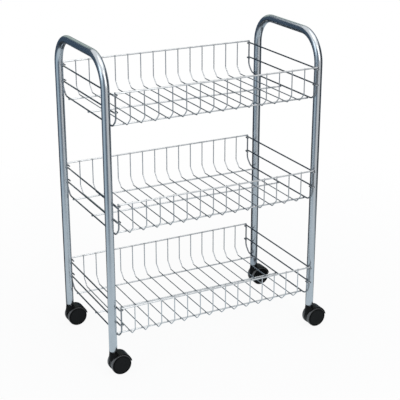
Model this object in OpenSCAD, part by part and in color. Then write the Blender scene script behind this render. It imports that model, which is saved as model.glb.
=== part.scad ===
// Three-tier wire basket cart on four twin-wheel swivel casters. All sizes are in millimetres.
// X runs from the left end frame to the right one, Y from the front to the back, Z up from the floor.
// The origin is on the floor, midway between the four legs.

/* [End frames] */
// Distance between the left and right leg centres
leg_spacing_x = 444; // [300:1:700]
// Distance between the front and rear leg centres
leg_spacing_y = 233; // [200:1:400]
// Height of the top of the end frames above the floor
frame_height = 626; // [600:1:900]
// Height of the lower end of the legs above the floor
leg_foot_z = 48; // [44:0.5:60]
// Outer diameter of the frame tube
tube_d = 16; // [15:0.5:20]
// Wall thickness of the frame tube
tube_wall = 1.2; // [0.8:0.1:1.5]
// Centreline radius of the two bends of an end frame
tube_bend_r = 58; // [30:1:85]

/* [Baskets] */
// Height of the floor of the bottom basket, where its lengthwise and cross wires meet
bottom_basket_z = 76; // [60:1:120]
// Distance from one basket floor to the next
basket_pitch = 208.5; // [120:0.5:220]
// Distance over the outer faces of the front and back rim wires
basket_depth = 272; // [240:1:460]
// Height of the rim wires above the basket floor
rim_height = 66; // [50:1:100]
// Size of the slanted lower corners of a basket, along the floor and up the wall
corner_cut = 14.5; // [12:0.5:24]
// Distance from the middle floor wire to the front and rear ones
floor_wire_spacing = 101; // [60:1:104]

/* [Wires] */
// Number of cross wires between the two end wires of a basket
cross_wire_count = 14; // [4:1:24]
// Diameter of the cross wires
cross_wire_d = 2; // [1.6:0.1:3]
// Centreline radius of the bends of a cross wire
cross_wire_bend_r = 5; // [3:0.5:8]
// Diameter of the end wires
end_wire_d = 3; // [2.4:0.1:4]
// Centreline radius of the bends of an end wire
end_wire_bend_r = 16; // [6:0.5:18]
// Diameter of the rim wires
rim_wire_d = 3; // [2:0.1:4]
// Diameter of the floor wires
floor_wire_d = 3; // [2:0.1:4]
// Diameter of the side wires, which are welded to the legs
side_wire_d = 3; // [2:0.1:4]
// Gap between the rim wires and the hooks of the upper side wires
hook_gap = 1; // [0.5:0.1:4]
// Distance from the upper side wire down to the lower one
side_wire_spacing = 31; // [10:0.5:34]
// Straight length at the end of a side wire, past the half turn of its hook
hook_length = 8; // [2:0.5:14]

/* [Caster wheels] */
// Diameter of the wheels
wheel_d = 40; // [30:0.5:42]
// Distance over the outer faces of the two wheels of a caster
caster_width = 26; // [24:0.5:34]
// Horizontal distance from the swivel axis to the axle
caster_trail = 12; // [8:0.5:13]
// Thickness of the middle wall between the wheels
web_t = 10; // [9.5:0.5:12]
// Gap between a wheel and the middle wall
wheel_side_gap = 0.4; // [0.3:0.1:0.8]
// Radius of the rounded edges of the wheels
wheel_edge_r = 1.2; // [0.5:0.1:2]
// Depth of the ring-shaped hollow in the inner face of a wheel
wheel_recess_depth = 4; // [1:0.5:4.5]
// Outer radius of that hollow
wheel_recess_r = 14; // [10:0.5:14]
// Radius of the hub inside that hollow
wheel_hub_r = 6; // [4:0.5:8]
// Diameter of the axle
axle_d = 5; // [3:0.5:6]
// Radial running clearance of the wheels on the axle
axle_clearance = 0.05; // [0.02:0.01:0.1]
// Thickness of the closed outer face of a wheel over the end of the axle
wheel_face_t = 1.5; // [1:0.1:2]
// Gap between the end of the axle and the bottom of a wheel's bore
axle_end_gap = 0.3; // [0.2:0.1:0.6]

/* [Caster bodies] */
// Gap between the wheels and the hood over them
hood_gap = 0.6; // [0.4:0.1:1.2]
// Wall thickness of the hood
hood_wall = 2; // [1.8:0.1:2.4]
// Radius of the rounded side edges of the hood
hood_edge_r = 1.4; // [0.8:0.1:1.6]
// Angle of the hood's trailing tip above the axle
hood_tip_angle = 10; // [0:1:40]
// Angle of the hood's leading edge
hood_front_angle = 134; // [125:1:140]
// Radius of the nose at its lower end
nose_r = 9.5; // [8.5:0.1:10]
// Radius of the nose at its upper end
neck_r = 7.8; // [7:0.1:8]
// Height of the lower end of the nose above the axle
nose_rise = 9; // [7:0.5:12]
// Gap between the edge of the middle wall and the tread of the wheels
web_inset = 1.5; // [1:0.1:4]

/* [Stems and sockets] */
// Diameter of the stem
stem_d = 7; // [5:0.5:7]
// Radial clearance of the stem in its socket
stem_clearance = 0.05; // [0.02:0.01:0.1]
// Depth of the stem in the caster body
stem_seat = 16; // [8:0.5:16]
// Diameter of the stem's collar
collar_d = 12; // [9:0.5:14]
// Thickness of the stem's collar
collar_t = 1.2; // [0.8:0.1:2]
// Gap between the collar and the socket
collar_gap = 0.3; // [0.2:0.05:0.6]
// Thickness of the socket's flange under the leg
flange_t = 1.5; // [1:0.1:2.5]
// Length of the socket inside the leg
socket_length = 28; // [20:1:50]
// Length of the wide upper chamber of the socket
chamber_length = 8; // [6:0.5:12]
// How far the stem's head stands out past the stem
head_lip = 0.8; // [0.4:0.1:1]
// Height of the stem's head
head_h = 3; // [2:0.1:4]
// Gap around the stem's head
head_gap = 0.3; // [0.2:0.05:0.6]

/* [Hidden] */
$fn = 48;

LEVELS = ["bottom", "middle", "top"];
SIDES = [["left", -1], ["right", 1]];
CORNERS = [
    ["front_left", -1, -1],
    ["front_right", 1, -1],
    ["rear_left", -1, 1],
    ["rear_right", 1, 1]
];

// Colours
painted_silver = [0.62, 0.66, 0.70];
bright_wire = [0.78, 0.79, 0.80];
black_plastic = [0.06, 0.06, 0.065];
zinc_steel = [0.55, 0.56, 0.58];

// Where the wires of a basket lie: each layer rests on the one that it is welded to
leg_x = leg_spacing_x / 2;
leg_y = leg_spacing_y / 2;
side_wire_x = leg_x - tube_d / 2 - side_wire_d / 2;
end_wire_x = side_wire_x - side_wire_d / 2 - end_wire_d / 2;
rim_y = basket_depth / 2 - rim_wire_d / 2;
end_wire_y = rim_y - rim_wire_d / 2 - end_wire_d / 2;
cross_wire_y = rim_y - rim_wire_d / 2 - cross_wire_d / 2;
wire_top = rim_height + rim_wire_d / 2;
upper_side_z = rim_height - rim_wire_d / 2 - hook_gap - side_wire_d / 2;
lower_side_z = upper_side_z - side_wire_spacing;
long_wire_length = 2 * end_wire_x + end_wire_d;
cross_wire_pitch = 2 * end_wire_x / (cross_wire_count + 1);
hook_r = (end_wire_d + side_wire_d) / 2;

// Heights and radii inside a caster
wheel_r = wheel_d / 2;
chamber_r = wheel_r + hood_gap;
hood_r = chamber_r + hood_wall;
wheel_inner_y = web_t / 2 + wheel_side_gap;
wheel_outer_y = caster_width / 2;
bore_end_y = wheel_outer_y - wheel_face_t;
socket_face_z = leg_foot_z - flange_t;
collar_top_z = socket_face_z - collar_gap;
neck_top_z = collar_top_z - collar_t;
nose_z = wheel_r + nose_rise;
// The slanted shoulders beside the nose reach this far ahead of the swivel axis and behind it
shoulder_x = nose_r / 2;
socket_top_z = leg_foot_z + socket_length;
ledge_z = socket_top_z - chamber_length;
head_r = stem_d / 2 + head_lip;
// How far a cut runs past the face that it opens
cut = 1;

function basket_z(level) = bottom_basket_z + basket_pitch * search([level], LEVELS)[0];

// Length of straight bar that one side of a bend takes up, out of a sharp corner
function trim(bend_r, turn) = bend_r * tan(turn / 2);

// A round bar in the XY plane, starting along X. Each step is a straight length and the left turn after it.
// Each straight is turned on its axis so that its surface starts on the same line as that of the bends.
module bent_bar(steps, bend_r, d, i = 0) {
    straight = steps[i][0];
    turn = steps[i][1];
    rotate([0, 90, 0]) rotate([0, 0, -90]) cylinder(d = d, h = straight);
    if (i < len(steps) - 1)
        translate([straight, bend_r, 0]) {
            rotate([0, 0, -90])
                rotate_extrude(angle = turn)
                    translate([bend_r, 0])
                        circle(d = d);
            rotate([0, 0, turn])
                translate([0, -bend_r, 0])
                    bent_bar(steps, bend_r, d, i + 1);
        }
}

// Turns a path drawn as (Y, Z) upright, in the plane at a given X
module upright(x) {
    translate([x, 0, 0]) rotate([90, 0, 90]) children();
}

// A straight wire along X, the full length of a basket
module long_wire(d, y, z) {
    translate([-long_wire_length / 2, y, z]) rotate([0, 90, 0]) cylinder(d = d, h = long_wire_length);
}

// A wire bent to the outline of a basket, from the front rim down, under the floor and up to the back rim
module tray_wire(y, bend_r, d) {
    slant_trim = trim(bend_r, 45);
    upright_length = wire_top - d / 2 - corner_cut - slant_trim;
    slant_length = corner_cut * sqrt(2) - 2 * slant_trim;
    floor_length = 2 * (y - corner_cut - slant_trim);
    translate([-y, wire_top, 0])
        rotate([0, 0, -90])
            bent_bar([[upright_length, 45], [slant_length, 45], [floor_length, 45], [slant_length, 45],
                [upright_length, 0]], bend_r, d);
}

// A bar along the centreline of an end frame, running past both feet by a length
module frame_bar(d, past) {
    leg_length = frame_height - tube_d / 2 - tube_bend_r - leg_foot_z;
    translate([-leg_y, leg_foot_z - past, 0])
        rotate([0, 0, 90])
            mirror([0, 1, 0])
                bent_bar([[leg_length + past, 90], [leg_spacing_y - 2 * tube_bend_r, 90],
                    [leg_length + past, 0]], tube_bend_r, d);
}

// One end frame: a tube bent to an upside-down U, hollow from foot to foot
module frame_tube(side) {
    color(painted_silver)
        upright(side * leg_x)
            difference() {
                frame_bar(tube_d, 0);
                frame_bar(tube_d - 2 * tube_wall, cut);
            }
}

// The thin wires across a basket, each bent to a tray shape
module cross_wires() {
    color(bright_wire)
        for (i = [1 : cross_wire_count])
            upright(-end_wire_x + i * cross_wire_pitch)
                tray_wire(cross_wire_y, cross_wire_bend_r, cross_wire_d);
}

// The thicker wire at each end of a basket
module end_wire(side) {
    color(bright_wire)
        upright(side * end_wire_x)
            tray_wire(end_wire_y, end_wire_bend_r, end_wire_d);
}

// Three lengthwise wires under the cross wires
module floor_wires() {
    color(bright_wire)
        for (row = [-1 : 1])
            long_wire(floor_wire_d, row * floor_wire_spacing, -floor_wire_d / 2);
}

// A rim wire outside the upper ends of the cross wires
module rim_wire(side) {
    color(bright_wire) long_wire(rim_wire_d, side * rim_y, rim_height);
}

// A wire between the legs and the end wire, hooked round both uprights of the end wire
module side_wire(side, z) {
    color(bright_wire)
        translate([0, 0, z])
            mirror([side < 0 ? 1 : 0, 0, 0])
                translate([end_wire_x - hook_r, hook_length - end_wire_y, 0])
                    rotate([0, 0, -90])
                        bent_bar([[hook_length, 180], [2 * end_wire_y, 180], [hook_length, 0]],
                            hook_r, side_wire_d);
}

// Puts a caster part, drawn with its swivel axis on Z, under the leg at a corner
module at_corner(corner) {
    translate([corner[1] * leg_x, corner[2] * leg_y, 0]) children();
}

// A cylinder along Y, centred on the axle
module along_axle(r, y0, y1) {
    translate([caster_trail, y1, wheel_r]) rotate([90, 0, 0]) cylinder(r = r, h = y1 - y0);
}

// The plastic plug in the lower end of a leg
module socket() {
    bore_r = stem_d / 2 + stem_clearance;
    color(black_plastic)
        difference() {
            union() {
                translate([0, 0, socket_face_z]) cylinder(d = tube_d, h = flange_t);
                translate([0, 0, leg_foot_z]) cylinder(d = tube_d - 2 * tube_wall, h = socket_length);
            }
            translate([0, 0, socket_face_z - cut])
                cylinder(r = bore_r, h = socket_length + flange_t + 2 * cut);
            translate([0, 0, ledge_z]) cylinder(r = head_r + head_gap, h = chamber_length + cut);
        }
}

// The steel stem: pressed into the caster body, turning in the socket, held there by its head
module stem() {
    foot_z = neck_top_z - stem_seat;
    head_z = ledge_z + head_gap;
    color(zinc_steel) {
        translate([0, 0, foot_z]) cylinder(d = stem_d, h = head_z - foot_z);
        translate([0, 0, neck_top_z]) cylinder(d = collar_d, h = collar_t);
        translate([0, 0, head_z]) cylinder(r1 = head_r, r2 = head_r - head_lip, h = head_h);
    }
}

// Cross-section of the hood as (distance from the axle, Y), with rounded side edges. It starts inside the
// wheels' room, which trims it.
module hood_section() {
    flat = caster_width / 2 - hood_edge_r;
    translate([chamber_r - cut, -flat]) square([hood_wall + cut, 2 * flat]);
    translate([chamber_r - cut, -caster_width / 2]) square([hood_wall + cut - hood_edge_r, caster_width]);
    for (y = [-flat, flat])
        translate([hood_r - hood_edge_r, y]) circle(hood_edge_r);
}

// The hood's sector of a circle, seen from the side, out to a radius
module hood_sector(r) {
    middle = (hood_tip_angle + hood_front_angle) / 2;
    intersection() {
        circle(r);
        polygon([
            [0, 0],
            for (a = [hood_tip_angle, middle, hood_front_angle]) 2 * r * [cos(a), sin(a)]
        ]);
    }
}

// The moulded body of a caster: nose, middle wall between the wheels, and hood over them
module caster_body() {
    color(black_plastic)
        difference() {
            union() {
                // Hood
                translate([caster_trail, 0, wheel_r])
                    rotate([90, 0, 0])
                        rotate([0, 0, hood_tip_angle])
                            rotate_extrude(angle = hood_front_angle - hood_tip_angle)
                                hood_section();
                // Middle wall
                translate([caster_trail, web_t / 2, wheel_r])
                    rotate([90, 0, 0])
                        linear_extrude(web_t) {
                            circle(wheel_r - web_inset);
                            hood_sector(chamber_r);
                        }
                // Nose and neck under the leg
                translate([0, 0, nose_z]) cylinder(r1 = nose_r, r2 = neck_r, h = neck_top_z - nose_z);
            }
            // Room for the wheels
            for (side = [-1, 1])
                translate([caster_trail, side * (web_t + caster_width) / 2, wheel_r])
                    rotate([90, 0, 0])
                        cylinder(r = chamber_r, h = caster_width, center = true);
            // Slanted front corners of the hood, beside the nose
            for (side = [-1, 1])
                translate([0, 0, nose_z])
                    linear_extrude(leg_foot_z)
                        polygon([
                            [-hood_r, side * nose_r], [-shoulder_x, side * nose_r],
                            [shoulder_x, side * (caster_width / 2 + cut)],
                            [-hood_r, side * (caster_width / 2 + cut)]
                        ]);
            // Seats of the stem and the axle
            translate([0, 0, neck_top_z - stem_seat]) cylinder(d = stem_d, h = stem_seat + cut);
            along_axle(axle_d / 2, -web_t, web_t);
        }
}

// The steel pin through the middle wall that both wheels turn on
module axle() {
    color(zinc_steel) along_axle(axle_d / 2, axle_end_gap - bore_end_y, bore_end_y - axle_end_gap);
}

// Half cross-section of a wheel as (radius, distance from the middle of the caster)
module wheel_section() {
    width = wheel_outer_y - wheel_inner_y;
    difference() {
        translate([0, wheel_inner_y])
            union() {
                square([wheel_r - wheel_edge_r, width]);
                translate([0, wheel_edge_r]) square([wheel_r, width - 2 * wheel_edge_r]);
                for (y = [wheel_edge_r, width - wheel_edge_r])
                    translate([wheel_r - wheel_edge_r, y]) circle(wheel_edge_r);
            }
        // Blind bore for the axle
        translate([-cut, wheel_inner_y - cut])
            square([cut + axle_d / 2 + axle_clearance, bore_end_y - wheel_inner_y + cut]);
        // Hollow between the hub and the tread
        translate([wheel_hub_r, wheel_inner_y - cut])
            square([wheel_recess_r - wheel_hub_r, wheel_recess_depth + cut]);
    }
}

// One wheel of a caster, on the front side (-1) or the back side (1) of its middle wall
module wheel(side) {
    color(black_plastic)
        translate([caster_trail, 0, wheel_r])
            rotate([side > 0 ? -90 : 90, 0, 0])
                rotate_extrude()
                    wheel_section();
}

for (s = SIDES)
    frame_tube(s[1]);

for (l = LEVELS)
    translate([0, 0, basket_z(l)]) {
        cross_wires();
        floor_wires();
        rim_wire(-1);
        rim_wire(1);
        for (s = SIDES) {
            end_wire(s[1]);
            side_wire(s[1], upper_side_z);
            side_wire(s[1], lower_side_z);
        }
    }

for (c = CORNERS)
    at_corner(c) {
        socket();
        stem();
        caster_body();
        axle();
        wheel(c[2]);
        wheel(-c[2]);
    }
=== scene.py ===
"""A wire basket cart: two bent-tube end frames, three welded wire baskets and four twin-wheel casters."""
import math

import bpy
import numpy as np
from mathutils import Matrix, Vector


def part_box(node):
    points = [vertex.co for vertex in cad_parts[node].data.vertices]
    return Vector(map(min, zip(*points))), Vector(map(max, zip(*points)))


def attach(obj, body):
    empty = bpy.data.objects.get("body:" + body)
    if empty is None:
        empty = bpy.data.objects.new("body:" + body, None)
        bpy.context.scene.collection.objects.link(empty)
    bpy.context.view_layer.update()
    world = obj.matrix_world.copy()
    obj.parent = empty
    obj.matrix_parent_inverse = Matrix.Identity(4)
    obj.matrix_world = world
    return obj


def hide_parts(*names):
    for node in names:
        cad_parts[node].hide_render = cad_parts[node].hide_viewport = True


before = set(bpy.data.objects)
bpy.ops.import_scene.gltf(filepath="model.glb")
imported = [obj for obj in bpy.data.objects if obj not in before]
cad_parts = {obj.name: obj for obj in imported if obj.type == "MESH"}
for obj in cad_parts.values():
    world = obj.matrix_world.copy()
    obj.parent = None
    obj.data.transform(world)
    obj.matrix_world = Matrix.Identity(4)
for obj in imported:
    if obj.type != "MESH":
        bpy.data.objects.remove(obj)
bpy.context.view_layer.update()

scene = bpy.context.scene
scene.view_settings.view_transform = "Standard"

# Camera
# It stands in front of the cart and to its left, a little above the top basket, and looks slightly down.
CAMERA_TURN = math.radians(27.2)
CAMERA_RISE = math.radians(20.56)
CAMERA_AWAY = 2.2134
LOOKS_AT = Vector((0.0251, 0, 0.2756))
LENS = 98
SENSOR_WIDTH = 36

outwards = math.cos(CAMERA_RISE)
backwards = Vector((-math.sin(CAMERA_TURN) * outwards, -math.cos(CAMERA_TURN) * outwards,
                    math.sin(CAMERA_RISE)))
camera = bpy.data.objects.new("camera", bpy.data.cameras.new("camera"))
camera.data.lens = LENS
camera.data.sensor_width = SENSOR_WIDTH
camera.location = LOOKS_AT + backwards * CAMERA_AWAY
camera.rotation_mode = "QUATERNION"
camera.rotation_quaternion = (-backwards).to_track_quat("-Z", "Y")
scene.collection.objects.link(camera)
scene.camera = camera


# Studio
# A white paper floor runs out to a white background, and a cool, even light falls from all round. Rays that
# show the background itself, the camera's and mirrored ones, see it as plain white.
FLOOR_RADIUS = 1.5
FLOOR_SIDES = 96
FLOOR_GLOW = 0.92
FLOOR_FADE = (0.35, 1.2)
floor_colour = (0.86, 0.86, 0.86)
white = (1, 1, 1)
room_light = (0.94, 0.97, 1.0)
room_level = 0.62


class Shade:
    """A socket in a node tree. Arithmetic on shades adds Math nodes, and node() adds any other node."""

    def __init__(self, tree, socket=None):
        self.tree = tree
        self.socket = socket

    def plug(self, socket, value):
        """Links a shade to a socket, or writes a plain value on it."""
        if isinstance(value, Shade):
            self.tree.links.new(value.socket, socket)
        elif socket.type == "RGBA" and len(value) == 3:
            socket.default_value = (*value, 1)
        else:
            socket.default_value = value

    def node(self, kind, settings=None, values=None, output=0):
        """Adds a node. Settings are its own properties; values go to its sockets, by name or by number."""
        made = self.tree.nodes.new("ShaderNode" + kind)
        for name, setting in (settings or {}).items():
            if name == "stops":
                ramp = made.color_ramp
                while len(ramp.elements) < len(setting):
                    ramp.elements.new(1)
                for element, (position, colour) in zip(ramp.elements, setting):
                    element.position = position
                    element.color = (*colour, 1)
            else:
                setattr(made, name, setting)
        for name, value in (values or {}).items():
            self.plug(made.inputs[name], value)
        return Shade(self.tree, made.outputs[output])

    def outputs(self, *names):
        """Several outputs of the node that this shade comes from."""
        return [Shade(self.tree, self.socket.node.outputs[name]) for name in names]

    def math(self, operation, *others):
        """A Math node with this shade as its first input."""
        return self.node("Math", {"operation": operation}, dict(enumerate((self, *others))))

    def __add__(self, other):
        return self.math("ADD", other)

    def __radd__(self, other):
        return self.math("ADD", other)

    def __sub__(self, other):
        return self.math("SUBTRACT", other)

    def __rsub__(self, other):
        return (self * -1) + other

    def __mul__(self, other):
        return self.math("MULTIPLY", other)

    def __rmul__(self, other):
        return self.math("MULTIPLY", other)

    def clamp(self, low, high):
        """0 up to the value low, 1 from the value high on, and a straight ramp between them."""
        return self.node("MapRange", {"clamp": True}, {"Value": self, "From Min": low, "From Max": high})

    def blend(self, first, second):
        """The first colour where this shade is 0 and the second where it is 1."""
        return self.node("Mix", {"data_type": "RGBA"}, {0: self, 6: first, 7: second}, output=2)

    def noise(self, scale, detail, roughness=0.5):
        """An uneven pattern round 0.5 that stays put on the cart, finer with a larger scale."""
        place = self.node("TexCoord", output="Object")
        return self.node("TexNoise", None, {"Vector": place, "Scale": scale, "Detail": detail,
                                            "Roughness": roughness})

    def bump(self, height, strength, distance):
        """A normal that is tilted by a height pattern."""
        return self.node("Bump", None, {"Strength": strength, "Distance": distance, "Height": height})

    def end(self, surface, kind="Material"):
        """Ends the tree at its output."""
        self.plug(self.tree.nodes.new("ShaderNodeOutput" + kind).inputs["Surface"], surface)


def shown_rays(shade):
    """1 for rays that show the background as it is: the camera's, mirrored ones and those through glass."""
    camera_ray, mirrored, through = shade.node("LightPath").outputs(
        "Is Camera Ray", "Is Glossy Ray", "Is Transmission Ray")
    return (camera_ray + mirrored + through).clamp(0, 1)


world = bpy.data.worlds.new("studio")
world.use_nodes = True
world.node_tree.nodes.clear()
sky = Shade(world.node_tree)
lit = sky.node("Background", None, {"Color": room_light, "Strength": room_level})
seen = sky.node("Background", None, {"Color": white})
sky.end(sky.node("MixShader", None, {0: shown_rays(sky), 1: lit, 2: seen}), "World")
scene.world = world


def link_mesh(name, points, faces, smooth=True):
    """A mesh object from an array of points and arrays of faces, each with its points in outward order."""
    mesh = bpy.data.meshes.new(name)
    mesh.from_pydata(points.tolist(), [], [face for block in faces for face in block.tolist()])
    mesh.polygons.foreach_set("use_smooth", np.full(len(mesh.polygons), smooth))
    mesh.update()
    piece = bpy.data.objects.new(name, mesh)
    scene.collection.objects.link(piece)
    return piece


def material(name):
    """An empty material, and a shade of its node tree to build it with."""
    made = bpy.data.materials.new(name)
    made.use_nodes = True
    made.node_tree.nodes.clear()
    return made, Shade(made.node_tree)


def full_turn(sides):
    """The angles of a full turn, cut into even steps."""
    return np.linspace(0, 2 * math.pi, sides, endpoint=False)


angle = full_turn(FLOOR_SIDES)
edge = np.stack([FLOOR_RADIUS * np.cos(angle), FLOOR_RADIUS * np.sin(angle), 0 * angle], 1)
floor = link_mesh("floor", edge, [np.arange(FLOOR_SIDES)[None]], smooth=False)
floor_material, paper = material("paper_floor")
place = paper.node("TexCoord", output="Object")
far = paper.node("VectorMath", {"operation": "LENGTH"}, {0: place}, output="Value").clamp(*FLOOR_FADE)
sheet = paper.node("BsdfDiffuse", None, {"Color": floor_colour})
glow = paper.node("Emission", None, {"Color": white})
shown = paper.node("MixShader", None, {0: FLOOR_GLOW + far * (1 - FLOOR_GLOW), 1: sheet, 2: glow})
paper.end(paper.node("MixShader", None, {0: shown_rays(paper), 1: sheet, 2: shown}))
floor.data.materials.append(floor_material)


# Ring of cards
# Grey and dark cards stand in a wide ring round the cart and lie inside it as a mat, to give the bright metal
# its bands. They are light in front and on the left, dark on the right and blue behind, under a pale card.
RING_RADIUS = 3.0
RING_HEIGHT = 2.6
RING_HOLE = 0.02
RING_LIFT = 0.0005
RING_SIDES = 72
card_dark = (0.008, 0.012, 0.018)
card_slate = (0.09, 0.13, 0.18)
card_cool = (0.50, 0.61, 0.69)
card_warm = (0.76, 0.75, 0.74)
card_blue = (0.040, 0.072, 0.115)
card_beige = (0.52, 0.60, 0.54)
card_back = (0.42, 0.48, 0.53)
mat_pale = (0.65, 0.72, 0.76)
# The cards' places round the ring, in turns from the cart's right over its back. Pairs are soft edges.
RING_STOPS = [
    (0.0, card_dark), (0.36, card_dark), (0.42, card_slate), (0.485, card_cool), (0.56, card_cool),
    (0.625, card_slate), (0.665, card_slate), (0.735, card_warm), (0.84, card_warm), (0.89, card_dark),
    (1.0, card_dark)]
BLUE_TURNS = ((-0.02, 0.02), (0.40, 0.43))
BEIGE_TURNS = ((0.10, 0.14), (0.255, 0.285))
BACK_TURNS = ((0.03, 0.06), (0.135, 0.165))
# Their edges in metres, upwards and away from the middle.
BEIGE_HEIGHTS = ((0.9, 1.15), (1.95, 2.15))
BACK_TOP = (0.8, 1.2)
BLUE_START = (1.3, 1.8)
MAT_END = (0.6, 1.2)
# The pale half of the mat lies towards this side, up to a soft line through the middle.
PALE_SIDE = (-0.35, -0.94)
PALE_EDGE = (-0.10, 0.0)


def skin(rows, sides):
    """The quads between neighbouring rings of points."""
    i, j = np.meshgrid(np.arange(rows - 1), np.arange(sides), indexing="ij")
    k = (j + 1) % sides
    quads = np.stack([i * sides + j, (i + 1) * sides + j, (i + 1) * sides + k, i * sides + k], -1)
    return quads.reshape(-1, 4)


def window(shade, rise, fall):
    """1 between two ramps: it goes up over the first range and down over the second."""
    return shade.clamp(*rise) * (1 - shade.clamp(*fall))


angle = full_turn(RING_SIDES)
profile = np.array([(RING_HOLE, 0), (RING_RADIUS, 0), (RING_RADIUS, RING_HEIGHT)])
grid = np.stack([profile[:, :1] * np.cos(angle), profile[:, :1] * np.sin(angle),
                 profile[:, 1:] + RING_LIFT + 0 * angle], -1)
ring = link_mesh("ring_of_cards", grid.reshape(-1, 3),
                 [skin(len(profile), RING_SIDES), np.arange(RING_SIDES)[None]], smooth=False)
card_material, card = material("cards")
place = card.node("TexCoord", output="Object")
x, y, z = card.node("SeparateXYZ", None, {"Vector": place}).outputs("X", "Y", "Z")
level_place = card.node("CombineXYZ", None, {"X": x, "Y": y})
from_middle = card.node("VectorMath", {"operation": "LENGTH"}, {0: level_place}, output="Value")
turns = y.math("ARCTAN2", x) * (0.5 / math.pi)
bands = card.node("ValToRGB", {"stops": RING_STOPS}, {0: turns.math("FRACT")})
bands = (window(turns, *BLUE_TURNS) * from_middle.clamp(*BLUE_START)).blend(bands, card_blue)
bands = (window(turns, *BEIGE_TURNS) * window(z, *BEIGE_HEIGHTS)).blend(bands, card_beige)
back_right = window(turns, *BACK_TURNS)
bands = (back_right * (1 - z.clamp(*BACK_TOP))).blend(bands, card_back)
in_front = (x * PALE_SIDE[0] + y * PALE_SIDE[1]).clamp(*PALE_EDGE)
mat = in_front.blend(back_right.blend(card_dark, card_back), mat_pale)
card.end(card.node("Emission", None, {"Color": from_middle.clamp(*MAT_END).blend(mat, bands)}))
ring.data.materials.append(card_material)
# Only mirrors show the ring.
ring.visible_camera = ring.visible_diffuse = ring.visible_transmission = False
ring.visible_shadow = False


# Soft boxes
# Three soft boxes light the cart: a cool one on the left, a slightly warm one in front and a broad one
# overhead. They look to its lower middle, and only mirrors show them.
BOX_AIM = Vector((0, 0, 0.3))


def soft_box(name, at, width, height, level, colour):
    """A flat lamp whose power is its level times pi times its area, so that a level of 1 looks white."""
    lamp = bpy.data.objects.new(name, bpy.data.lights.new(name, "AREA"))
    lamp.data.shape = "RECTANGLE"
    lamp.data.size = width
    lamp.data.size_y = height
    lamp.data.color = colour
    lamp.data.energy = level * math.pi * width * height
    lamp.location = at
    lamp.rotation_mode = "QUATERNION"
    lamp.rotation_quaternion = (BOX_AIM - Vector(at)).to_track_quat("-Z", "Y")
    lamp.visible_camera = False
    scene.collection.objects.link(lamp)


soft_box("left_box", (-2.3, -0.5, 1.6), 1.1, 1.5, 1.3, (0.86, 0.94, 1.0))
soft_box("front_box", (0.3, -1.95, 1.5), 0.95, 1.9, 1.8, (1.0, 0.985, 0.96))
soft_box("top_box", (0.3, -0.3, 2.6), 1.8, 1.6, 0.9, (1.0, 1.0, 1.0))


# End frames
# Each end frame is one steel tube, 16 mm across, bent to an upside-down U and painted silver grey. The rims
# of its cut feet are rounded by the paint.
TUBE_BEND_R = 0.058
TUBE_WALL = 0.0012
TUBE_LIP = 0.0004
TUBE_STEP = 0.02
TUBE_TURN = math.radians(3)
TUBE_SIDES = 48
RIGHT = (1, 0, 0)
silver_dull = (0.55, 0.59, 0.625)
silver_light = (0.60, 0.64, 0.68)
# The values between which a noise pattern fades from one colour to the other.
PATCHY = (0.3, 0.7)


def bent_path(corners, bend_r, step, turn_step=math.radians(7.5)):
    """Points and directions along a line through the corners, with an arc of the bend radius at each inner
    corner. The straights are cut into steps, and the arcs, start + r (sin a way + (1 - cos a) inward), into
    small turns."""
    corners = np.array(corners, float)
    way = np.diff(corners, axis=0)
    length = np.linalg.norm(way, axis=1)
    way = way / length[:, None]
    turn = np.arccos(np.clip((way[:-1] * way[1:]).sum(1), -1, 1))
    trim = np.concatenate([[0], bend_r * np.tan(turn / 2), [0]])
    points, headings = [], []
    for i in range(len(way)):
        run = length[i] - trim[i] - trim[i + 1]
        along = np.linspace(0, run, max(2, int(run / step) + 1))
        points.append(corners[i] + way[i] * (trim[i] + along[:, None]))
        headings.append(np.tile(way[i], (len(along), 1)))
        if i < len(turn):
            inward = way[i + 1] - way[i] * math.cos(turn[i])
            inward = inward / np.linalg.norm(inward)
            a = np.linspace(0, turn[i], max(3, int(turn[i] / turn_step) + 1))[1:-1, None]
            start = corners[i + 1] - way[i] * trim[i + 1]
            points.append(start + bend_r * (np.sin(a) * way[i] + (1 - np.cos(a)) * inward))
            headings.append(np.cos(a) * way[i] + np.sin(a) * inward)
    return np.concatenate(points), np.concatenate(headings)


def rings(points, headings, across, radius, sides):
    """A circle round each point of a flat path: point + r (cos a side - sin a across), where across is square
    to the path's plane and side is square to the path in that plane."""
    side = np.cross(across, headings)
    a = full_turn(sides)
    circle = np.cos(a)[None, :, None] * side[:, None] - np.sin(a)[None, :, None] * np.array(across)
    return points[:, None] + radius * circle


def centre_of(node):
    """The middle of a CAD node's box."""
    low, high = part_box(node)
    return (low + high) / 2


def end_frame(side):
    """The outer skin is carried along the U and back along the bore, as one closed surface. At each foot the
    last outer ring stands a lip's width inside the end, and the end itself is narrower by as much."""
    low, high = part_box(f"{side}_frame_tube")
    tube_r = (high.x - low.x) / 2
    x = (low.x + high.x) / 2
    front, back, top = low.y + tube_r, high.y - tube_r, high.z - tube_r
    points, headings = bent_path([(x, front, low.z), (x, front, top), (x, back, top), (x, back, low.z)],
                                 TUBE_BEND_R, TUBE_STEP, TUBE_TURN)
    drawn_in = points.copy()
    drawn_in[0] += headings[0] * TUBE_LIP
    drawn_in[-1] -= headings[-1] * TUBE_LIP
    outer = rings(drawn_in, headings, RIGHT, tube_r, TUBE_SIDES)
    feet = rings(points[[0, -1]], headings[[0, -1]], RIGHT, tube_r - TUBE_LIP, TUBE_SIDES)
    bore = rings(points[::-1], headings[::-1], RIGHT, tube_r - TUBE_WALL, TUBE_SIDES)
    grid = np.concatenate([feet[:1], outer, feet[1:], bore])
    faces = skin(len(grid) + 1, TUBE_SIDES) % (len(grid) * TUBE_SIDES)
    return link_mesh(f"{side}_end_frame", grid.reshape(-1, 3), [faces])


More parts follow.
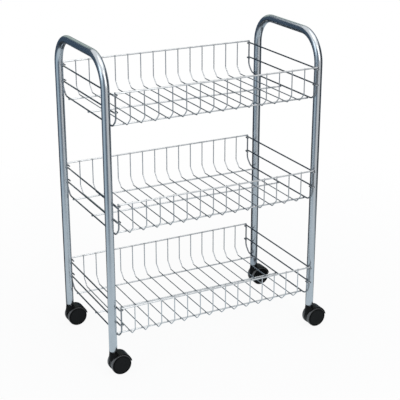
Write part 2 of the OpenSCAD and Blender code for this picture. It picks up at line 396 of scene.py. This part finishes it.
silver_paint, paint = material("silver_paint")
flakes = paint.noise(4500.0, 1.0)
mottle = paint.noise(45.0, 2.0)
peel = paint.noise(420.0, 1.0)
paint.end(paint.node("BsdfPrincipled", None, {
    "Base Color": (flakes * 0.35 + mottle * 0.65).clamp(*PATCHY).blend(silver_dull, silver_light),
    "Metallic": 0.95, "Roughness": 0.17 + mottle * 0.06, "Coat Weight": 0.25, "Coat Roughness": 0.06,
    "Normal": paint.bump(peel, 0.015, 0.0001)}))

for side in ("left", "right"):
    tube = end_frame(side)
    tube.data.materials.append(silver_paint)
    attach(tube, "cart")
    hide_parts(f"{side}_frame_tube")


# Baskets
# Every basket is bright-plated steel wire, resistance-welded wherever two wires touch. The thin cross wires
# and the thicker end wires are bent to a tray shape, over three floor wires and inside two rim wires.
LEVELS = ("bottom", "middle", "top")
CROSS_COUNT = 14
CROSS_BEND_R = 0.005
CROSS_SIDES = 12
END_BEND_R = 0.016
END_SIDES = 16
STRAIGHT_SIDES = 14
CORNER_CUT = 0.0145
WIRE_STEP = 0.004
CUT_EDGE = 0.32
HOOK_LENGTH = 0.008
HOOK_STEPS = 19
HOOK_TAIL_STEPS = 4
SIDE_RUN_STEPS = 66
# The width and thickness of a weld nugget, each halved, in radii of its wire.
CROSS_NUGGET = (1.25, 0.9)
END_NUGGET = (1.2, 0.8)
SIDE_NUGGET = (1.3, 0.7)
NUGGET_ROWS = 7
NUGGET_SIDES = 12
WELD_REACH = 0.0045
WELD_STRENGTH = 0.55
BACK = (0, 1, 0)
UP = (0, 0, 1)
ASIDE = (0.31, 0.95, 0.05)
MIRROR_Y = np.array([1, -1, 1])
thin_hazy = (0.56, 0.58, 0.60)
thin_clear = (0.70, 0.72, 0.74)
# The thick end and side wires carry the same bright plating as the thin ones. Their darker colours below are
# painted shade, standing for the dark surroundings that they mirror, not a different finish.
painted_shade_hazy = (0.24, 0.26, 0.28)
painted_shade_clear = (0.36, 0.38, 0.40)
weld_grey = (0.22, 0.22, 0.23)


def closed(grid, poles):
    """Points and faces of a closed body: rings of points joined by quads, and fans of triangles from a pole
    to the first ring and to the last."""
    rows, sides = grid.shape[:2]
    j = np.arange(sides)
    k = (j + 1) % sides
    pole, last = rows * sides, (rows - 1) * sides
    first_fan = np.stack([0 * j + pole, j, k], 1)
    last_fan = np.stack([0 * j + pole + 1, last + k, last + j], 1)
    return np.concatenate([grid.reshape(-1, 3), poles]), [skin(rows, sides), first_fan, last_fan]


def wire(points, headings, across, radius, sides):
    """A solid round wire: rings along a path, with a smaller one at each end, where the sheared edge is
    slightly rounded."""
    edge = CUT_EDGE * radius
    body = points.copy()
    body[0] += headings[0] * edge
    body[-1] -= headings[-1] * edge
    cuts = rings(points[[0, -1]], headings[[0, -1]], across, radius - edge, sides)
    grid = np.concatenate([cuts[:1], rings(body, headings, across, radius, sides), cuts[1:]])
    return closed(grid, points[[0, -1]])


def nugget(at, along, radius, shape):
    """A weld: a ball flattened along the line between its two wires, at + flat cos a along + wide sin a out,
    where out turns round that line."""
    wide, flat = radius * shape[0], radius * shape[1]
    at, along = np.array(at), np.array(along, float)
    first = np.cross(along, ASIDE)
    first /= np.linalg.norm(first)
    second = np.cross(along, first)
    b = full_turn(NUGGET_SIDES)[:, None]
    out = np.cos(b) * first + np.sin(b) * second
    a = np.linspace(0, math.pi, NUGGET_ROWS)[1:-1, None, None]
    grid = at + flat * np.cos(a) * along + wide * np.sin(a) * out
    return closed(grid, [at + flat * along, at - flat * along])


def join(parts):
    """Several sets of points and faces as one."""
    points, faces, start = [], [], 0
    for part_points, part_faces in parts:
        points.append(part_points)
        faces += [block + start for block in part_faces]
        start += len(part_points)
    return np.concatenate(points), faces


def mark(piece, name, values):
    """Writes a value from 0 to 1 on each point of a piece, for its material to read."""
    marks = piece.data.attributes.new(name, "FLOAT", "POINT")
    marks.data.foreach_set("value", values.clip(0, 1).astype(np.float32))


def plating(name, hazy, clear):
    """Bright plating with a faint haze and draw marks, duller and darker round the welds."""
    made, bright = material(name)
    haze = bright.noise(180.0, 3.0)
    draw_marks = bright.noise(1500.0, 1.0)
    weld = bright.node("Attribute", {"attribute_name": "weld"}, output="Fac")
    plated = haze.clamp(*PATCHY).blend(hazy, clear)
    bright.end(bright.node("BsdfPrincipled", None, {
        "Base Color": (weld * WELD_STRENGTH).blend(plated, weld_grey), "Metallic": 1.0,
        "Roughness": 0.10 + haze * 0.10 + weld * 0.25, "Normal": bright.bump(draw_marks, 0.1, 0.0001)}))
    return made


thin_plating = plating("bright_plating", thin_hazy, thin_clear)
# A second, darker copy of the plating for the thick wires: painted shade over the same bright finish.
painted_shade_plating = plating("painted_shade_plating", painted_shade_hazy, painted_shade_clear)


def wire_piece(name, node, wires, nuggets=(), other_welds=(), finish=thin_plating):
    """Joins wires and their nuggets into one piece, and marks how near each point is to a weld."""
    points, faces = join(wires + [nugget(*weld) for weld in nuggets])
    piece = link_mesh(name, points, faces)
    near = np.zeros(len(points))
    for at in [weld[0] for weld in nuggets] + list(other_welds):
        near = np.maximum(near, 1 - np.linalg.norm(points - np.array(at), axis=1) / WELD_REACH)
    mark(piece, "weld", near)
    piece.data.materials.append(finish)
    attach(piece, "cart")
    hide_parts(node)


def tray(x, y, top, bottom, bend_r, radius, sides):
    """A wire bent to a basket's outline: down at the front, under and up at the back, with cut corners. Its
    middle line reaches y each way, and its underside lies at bottom."""
    low = bottom + radius
    corners = [(x, -y, top), (x, -y, low + CORNER_CUT), (x, -y + CORNER_CUT, low),
               (x, y - CORNER_CUT, low), (x, y, low + CORNER_CUT), (x, y, top)]
    return wire(*bent_path(corners, bend_r, WIRE_STEP), RIGHT, radius, sides)


def straight(half_length, y, z, radius):
    """A straight wire along the cart, as far to the left as to the right."""
    path = bent_path([(-half_length, y, z), (half_length, y, z)], 0, WIRE_STEP)
    return wire(*path, UP, radius, STRAIGHT_SIDES)


def hooked(x, y, z, hook_r, outward, radius):
    """A side wire: a straight run outside the end wire's uprights, which stand at x and at -y and y, half a
    turn round each, (x - outward r sin a, y + r cos a), and a short tail back inside."""
    a = np.linspace(-math.pi / 2, math.pi / 2, HOOK_STEPS)[1:-1, None]
    turn = np.array([x, y, z]) + hook_r * np.concatenate([-outward * np.sin(a), np.cos(a), 0 * a], 1)
    turn_way = np.concatenate([-outward * np.cos(a), -np.sin(a), 0 * a], 1)
    near_x, far_x = x + outward * hook_r, x - outward * hook_r
    run = np.linspace((near_x, -y, z), (near_x, y, z), SIDE_RUN_STEPS)
    run_way = np.tile((0, 1, 0), (SIDE_RUN_STEPS, 1))
    tail = np.linspace((far_x, y, z), (far_x, y - HOOK_LENGTH, z), HOOK_TAIL_STEPS)
    tail_way = np.tile((0, -1, 0), (HOOK_TAIL_STEPS, 1))
    points = np.concatenate([(tail * MIRROR_Y)[::-1], (turn * MIRROR_Y)[::-1], run, turn, tail])
    headings = np.concatenate([tail_way, (turn_way * -MIRROR_Y)[::-1], run_way, turn_way, tail_way])
    return wire(points, headings, UP, radius, STRAIGHT_SIDES)


for level in LEVELS:
    prefix = f"{level}_basket_"
    rim_low, rim_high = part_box(prefix + "front_rim")
    rim_r = (rim_high.z - rim_low.z) / 2
    rim_z = rim_low.z + rim_r
    rim_y = {"front": rim_low.y + rim_r, "back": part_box(prefix + "back_rim")[1].y - rim_r}
    half_length = rim_high.x
    floor_low, floor_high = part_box(prefix + "floor_wires")
    floor_r = (floor_high.z - floor_low.z) / 2
    floor_rows = (floor_low.y + floor_r, 0, floor_high.y - floor_r)
    end_low, end_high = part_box(prefix + "right_end_wire")
    end_r = (end_high.x - end_low.x) / 2
    end_x = (end_low.x + end_high.x) / 2
    end_y = end_high.y - end_r
    cross_low, cross_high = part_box(prefix + "cross_wires")
    cross_x = -end_x + 2 * end_x / (CROSS_COUNT + 1) * np.arange(1, CROSS_COUNT + 1)
    cross_r = cross_high.x - cross_x[-1]
    cross_y = cross_high.y - cross_r
    seat = cross_low.z

    # Cross wires
    trays = [tray(x, cross_y, cross_high.z, seat, CROSS_BEND_R, cross_r, CROSS_SIDES) for x in cross_x]
    nuggets = []
    for x in cross_x:
        nuggets += [((x, y, seat), UP, cross_r, CROSS_NUGGET) for y in floor_rows]
        nuggets += [((x, y, rim_z), BACK, cross_r, CROSS_NUGGET) for y in (-cross_high.y, cross_high.y)]
    wire_piece(f"{level}_cross_wires", prefix + "cross_wires", trays, nuggets)

    # Floor wires and rims
    all_x = [-end_x, *cross_x, end_x]
    wire_piece(f"{level}_floor_wires", prefix + "floor_wires",
               [straight(half_length, y, seat - floor_r, floor_r) for y in floor_rows],
               other_welds=[(x, y, seat) for x in all_x for y in floor_rows])
    for side, outward in (("front", -1), ("back", 1)):
        y = rim_y[side]
        wire_piece(f"{level}_{side}_rim", prefix + f"{side}_rim", [straight(half_length, y, rim_z, rim_r)],
                   other_welds=[(x, y - outward * rim_r, rim_z) for x in all_x])

    # End wires, and the side wires that hook round them and are welded to the legs
    for side, outward in (("left", -1), ("right", 1)):
        x = outward * end_x
        nuggets = [((x, y, seat), UP, end_r, END_NUGGET) for y in floor_rows]
        nuggets += [((x, y, rim_z), BACK, end_r, END_NUGGET) for y in (-end_high.y, end_high.y)]
        wire_piece(f"{level}_{side}_end_wire", prefix + f"{side}_end_wire",
                   [tray(x, end_y, end_high.z, seat, END_BEND_R, end_r, END_SIDES)], nuggets,
                   finish=painted_shade_plating)
        for row in ("upper", "lower"):
            node = prefix + f"{side}_{row}_side_wire"
            low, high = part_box(node)
            side_r = (high.z - low.z) / 2
            z = low.z + side_r
            leg_x = x + outward * (end_r + 2 * side_r)
            leg_rows = [centre_of(f"{corner}_{side}_stem").y for corner in ("front", "rear")]
            wire_piece(f"{level}_{side}_{row}_side_wire", node,
                       [hooked(x, end_y, z, end_r + side_r, outward, side_r)],
                       [((leg_x, y, z), RIGHT, side_r, SIDE_NUGGET) for y in leg_rows],
                       [(x + outward * end_r, y, z) for y in (-end_y, end_y)], painted_shade_plating)


# Caster bodies
# Each body is one moulding of black plastic: a nose under the leg, a middle wall and a hood over the wheels.
# Its edges are softly rounded, as they leave the mould.
CORNERS = ("front_left", "front_right", "rear_left", "rear_right")
BODY_VOXEL = 0.0003
BODY_PASSES = 18
SAME_POINT = 1e-6
plastic_deep = (0.0015, 0.0015, 0.0018)
plastic_clouded = (0.003, 0.003, 0.0034)


def softened(node):
    """A CAD solid with its edges rounded off: its surface is rebuilt on an even grid, and on each pass every
    point is drawn half way to the mean of its neighbours."""
    copy = bpy.data.objects.new("copy", node.data.copy())
    scene.collection.objects.link(copy)
    weld_up = copy.modifiers.new("weld_up", "WELD")
    weld_up.merge_threshold = SAME_POINT
    rebuild = copy.modifiers.new("rebuild", "REMESH")
    rebuild.mode = "VOXEL"
    rebuild.voxel_size = BODY_VOXEL
    solid = copy.evaluated_get(bpy.context.evaluated_depsgraph_get()).data
    points = np.empty(3 * len(solid.vertices))
    solid.vertices.foreach_get("co", points)
    points = points.reshape(-1, 3)
    quads = np.empty(4 * len(solid.polygons), int)
    solid.loops.foreach_get("vertex_index", quads)
    quads = quads.reshape(-1, 4)
    bpy.data.objects.remove(copy)
    first = quads.ravel()
    second = np.roll(quads, -1, 1).ravel()
    count = np.bincount(first, minlength=len(points))[:, None]
    for _ in range(BODY_PASSES):
        total = np.stack([np.bincount(first, points[second, axis], len(points)) for axis in range(3)], 1)
        points = (points + total / count) / 2
    return points, [quads]


black_plastic, moulded = material("black_plastic")
grain = moulded.noise(2200.0, 2.0)
cloud = moulded.noise(90.0, 2.0)
moulded.end(moulded.node("BsdfPrincipled", None, {
    "Base Color": cloud.clamp(*PATCHY).blend(plastic_deep, plastic_clouded),
    "Roughness": 0.26 + cloud * 0.12, "Specular IOR Level": 0.15,
    "Normal": moulded.bump(grain, 0.1, 0.0002)}))

body_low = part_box("front_left_caster_body")[0]
body_points, body_faces = softened(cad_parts["front_left_caster_body"])
for corner in CORNERS:
    moved = np.array(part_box(f"{corner}_caster_body")[0] - body_low)
    body = link_mesh(f"{corner}_body", body_points + moved, body_faces)
    body.data.materials.append(black_plastic)
    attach(body, f"{corner}_caster")
    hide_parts(f"{corner}_caster_body")


# Wheels
# The two wheels of a caster are hard black plastic, hollow behind the tread and closed outside. A groove runs
# round the outer face, just inside the tread, and the tread is scuffed grey from the floor.
WHEEL_EDGE_R = 0.0012
WHEEL_HUB_R = 0.006
WHEEL_RECESS_R = 0.014
WHEEL_RECESS_DEPTH = 0.004
WHEEL_FACE_T = 0.0015
WHEEL_BORE_R = 0.00255
WHEEL_SIDES = 96
GROOVE_R = 0.0180
GROOVE_WIDTH = 0.0018
GROOVE_DEPTH = 0.0015
SOFT_R = GROOVE_WIDTH / 5
FACE_DISH = 0.0004
FACE_STEPS = (0, 0.25, 0.5, 0.75)
FACE_PATCHY = (0.45, 0.75)
TREAD_PATCHY = (0.35, 0.7)
EDGE_STEPS = 6
SOFT_STEPS = 4
face_black = (0.002, 0.002, 0.0023)
face_grey = (0.005, 0.005, 0.0056)
tread_dark = (0.095, 0.098, 0.103)
tread_scuffed = (0.19, 0.195, 0.20)


def arc(away, deep, radius, start, end, steps):
    """Points (away + r cos a, deep + r sin a) while a goes from one angle to another, in degrees."""
    a = np.radians(np.linspace(start, end, steps))
    return np.stack([away + radius * np.cos(a), deep + radius * np.sin(a)], 1)


def wheel_profile(radius, width):
    """Half a cross-section as (distance from the axle, depth behind the outer face), from the middle of the
    outer face round the tread to the bottom of the bore. The face is dished as 1 - u^2, each corner is an
    arc, and the profile meets the axle at both ends."""
    groove_in = GROOVE_R - GROOVE_WIDTH
    recess = width - WHEEL_RECESS_DEPTH
    edge = WHEEL_EDGE_R
    return np.concatenate([
        [(groove_in * u, FACE_DISH * (1 - u * u)) for u in FACE_STEPS],
        arc(groove_in - SOFT_R, SOFT_R, SOFT_R, -90, 0, SOFT_STEPS),
        arc(groove_in + SOFT_R, GROOVE_DEPTH - SOFT_R, SOFT_R, 180, 90, SOFT_STEPS),
        arc(GROOVE_R - SOFT_R, GROOVE_DEPTH - SOFT_R, SOFT_R, 90, 0, SOFT_STEPS),
        arc(GROOVE_R + SOFT_R, SOFT_R, SOFT_R, 180, 270, SOFT_STEPS),
        arc(radius - edge, edge, edge, -90, 0, EDGE_STEPS),
        arc(radius - edge, width - edge, edge, 0, 90, EDGE_STEPS),
        arc(WHEEL_RECESS_R + SOFT_R, width - SOFT_R, SOFT_R, 90, 180, SOFT_STEPS),
        arc(WHEEL_RECESS_R - SOFT_R, recess + SOFT_R, SOFT_R, 0, -90, SOFT_STEPS),
        arc(WHEEL_HUB_R + SOFT_R, recess + SOFT_R, SOFT_R, 270, 180, SOFT_STEPS),
        arc(WHEEL_HUB_R - SOFT_R, width - SOFT_R, SOFT_R, 0, 90, SOFT_STEPS),
        [(WHEEL_BORE_R, width), (WHEEL_BORE_R, WHEEL_FACE_T), (0, WHEEL_FACE_T)]])


def revolved(profile, centre, outward):
    """The profile turned round the axle: centre + (r cos a, -outward depth, r sin a), where outward is the
    side, -1 or 1, that the outer face looks to. The profile's two ends become poles."""
    a = full_turn(WHEEL_SIDES) * outward
    away, deep = profile[:, :1], -outward * profile[:, 1:]
    grid = np.stack([away * np.cos(a), deep + 0 * a, away * np.sin(a)], -1) + np.array(centre)
    points, faces = closed(grid[1:-1], grid[[0, -1], 0])
    return points, [block[:, ::-1] for block in faces]


wheel_plastic, tread = material("wheel_plastic")
grain = tread.noise(1800.0, 2.0)
scuff = tread.noise(420.0, 4.0, 0.7)
worn = tread.node("Attribute", {"attribute_name": "tread"}, output="Fac")
face_colour = scuff.clamp(*FACE_PATCHY).blend(face_black, face_grey)
tread_colour = scuff.clamp(*TREAD_PATCHY).blend(tread_dark, tread_scuffed)
tread.end(tread.node("BsdfPrincipled", None, {
    "Base Color": worn.blend(face_colour, tread_colour),
    "Roughness": 0.30 + scuff * 0.12 + worn * 0.18, "Specular IOR Level": 0.17,
    "Normal": tread.bump(grain, 0.15, 0.0002)}))

for corner in CORNERS:
    axle_y = centre_of(f"{corner}_axle").y
    for row in ("outer", "inner"):
        node = f"{corner}_{row}_wheel"
        low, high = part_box(node)
        middle = centre_of(node)
        radius = (high.z - low.z) / 2
        outward = 1 if middle.y > axle_y else -1
        centre = (middle.x, high.y if outward > 0 else low.y, middle.z)
        points, faces = revolved(wheel_profile(radius, high.y - low.y), centre, outward)
        wheel = link_mesh(node.replace("_wheel", "_roller"), points, faces)
        from_axle = np.hypot(points[:, 0] - middle.x, points[:, 2] - middle.z)
        mark(wheel, "tread", (from_axle - radius + WHEEL_EDGE_R) / WHEEL_EDGE_R)
        wheel.data.materials.append(wheel_plastic)
        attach(wheel, node)
        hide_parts(node)


# Sockets, stems and axles
# A black plastic plug fills the foot of each leg, with a flange under the tube. A zinc-plated steel stem
# turns in it, and a steel axle carries the wheels.
zinc_dull = (0.42, 0.43, 0.45)
zinc_bright = (0.62, 0.62, 0.62)
zinc_steel, zinc = material("zinc_steel")
turning_marks = zinc.noise(700.0, 3.0)
zinc.end(zinc.node("BsdfPrincipled", None, {
    "Base Color": turning_marks.blend(zinc_dull, zinc_bright), "Metallic": 1.0,
    "Roughness": 0.25 + turning_marks * 0.2}))

for corner in CORNERS:
    for part, finish in (("socket", black_plastic), ("stem", zinc_steel), ("axle", zinc_steel)):
        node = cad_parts[f"{corner}_{part}"]
        node.data.materials.clear()
        node.data.materials.append(finish)
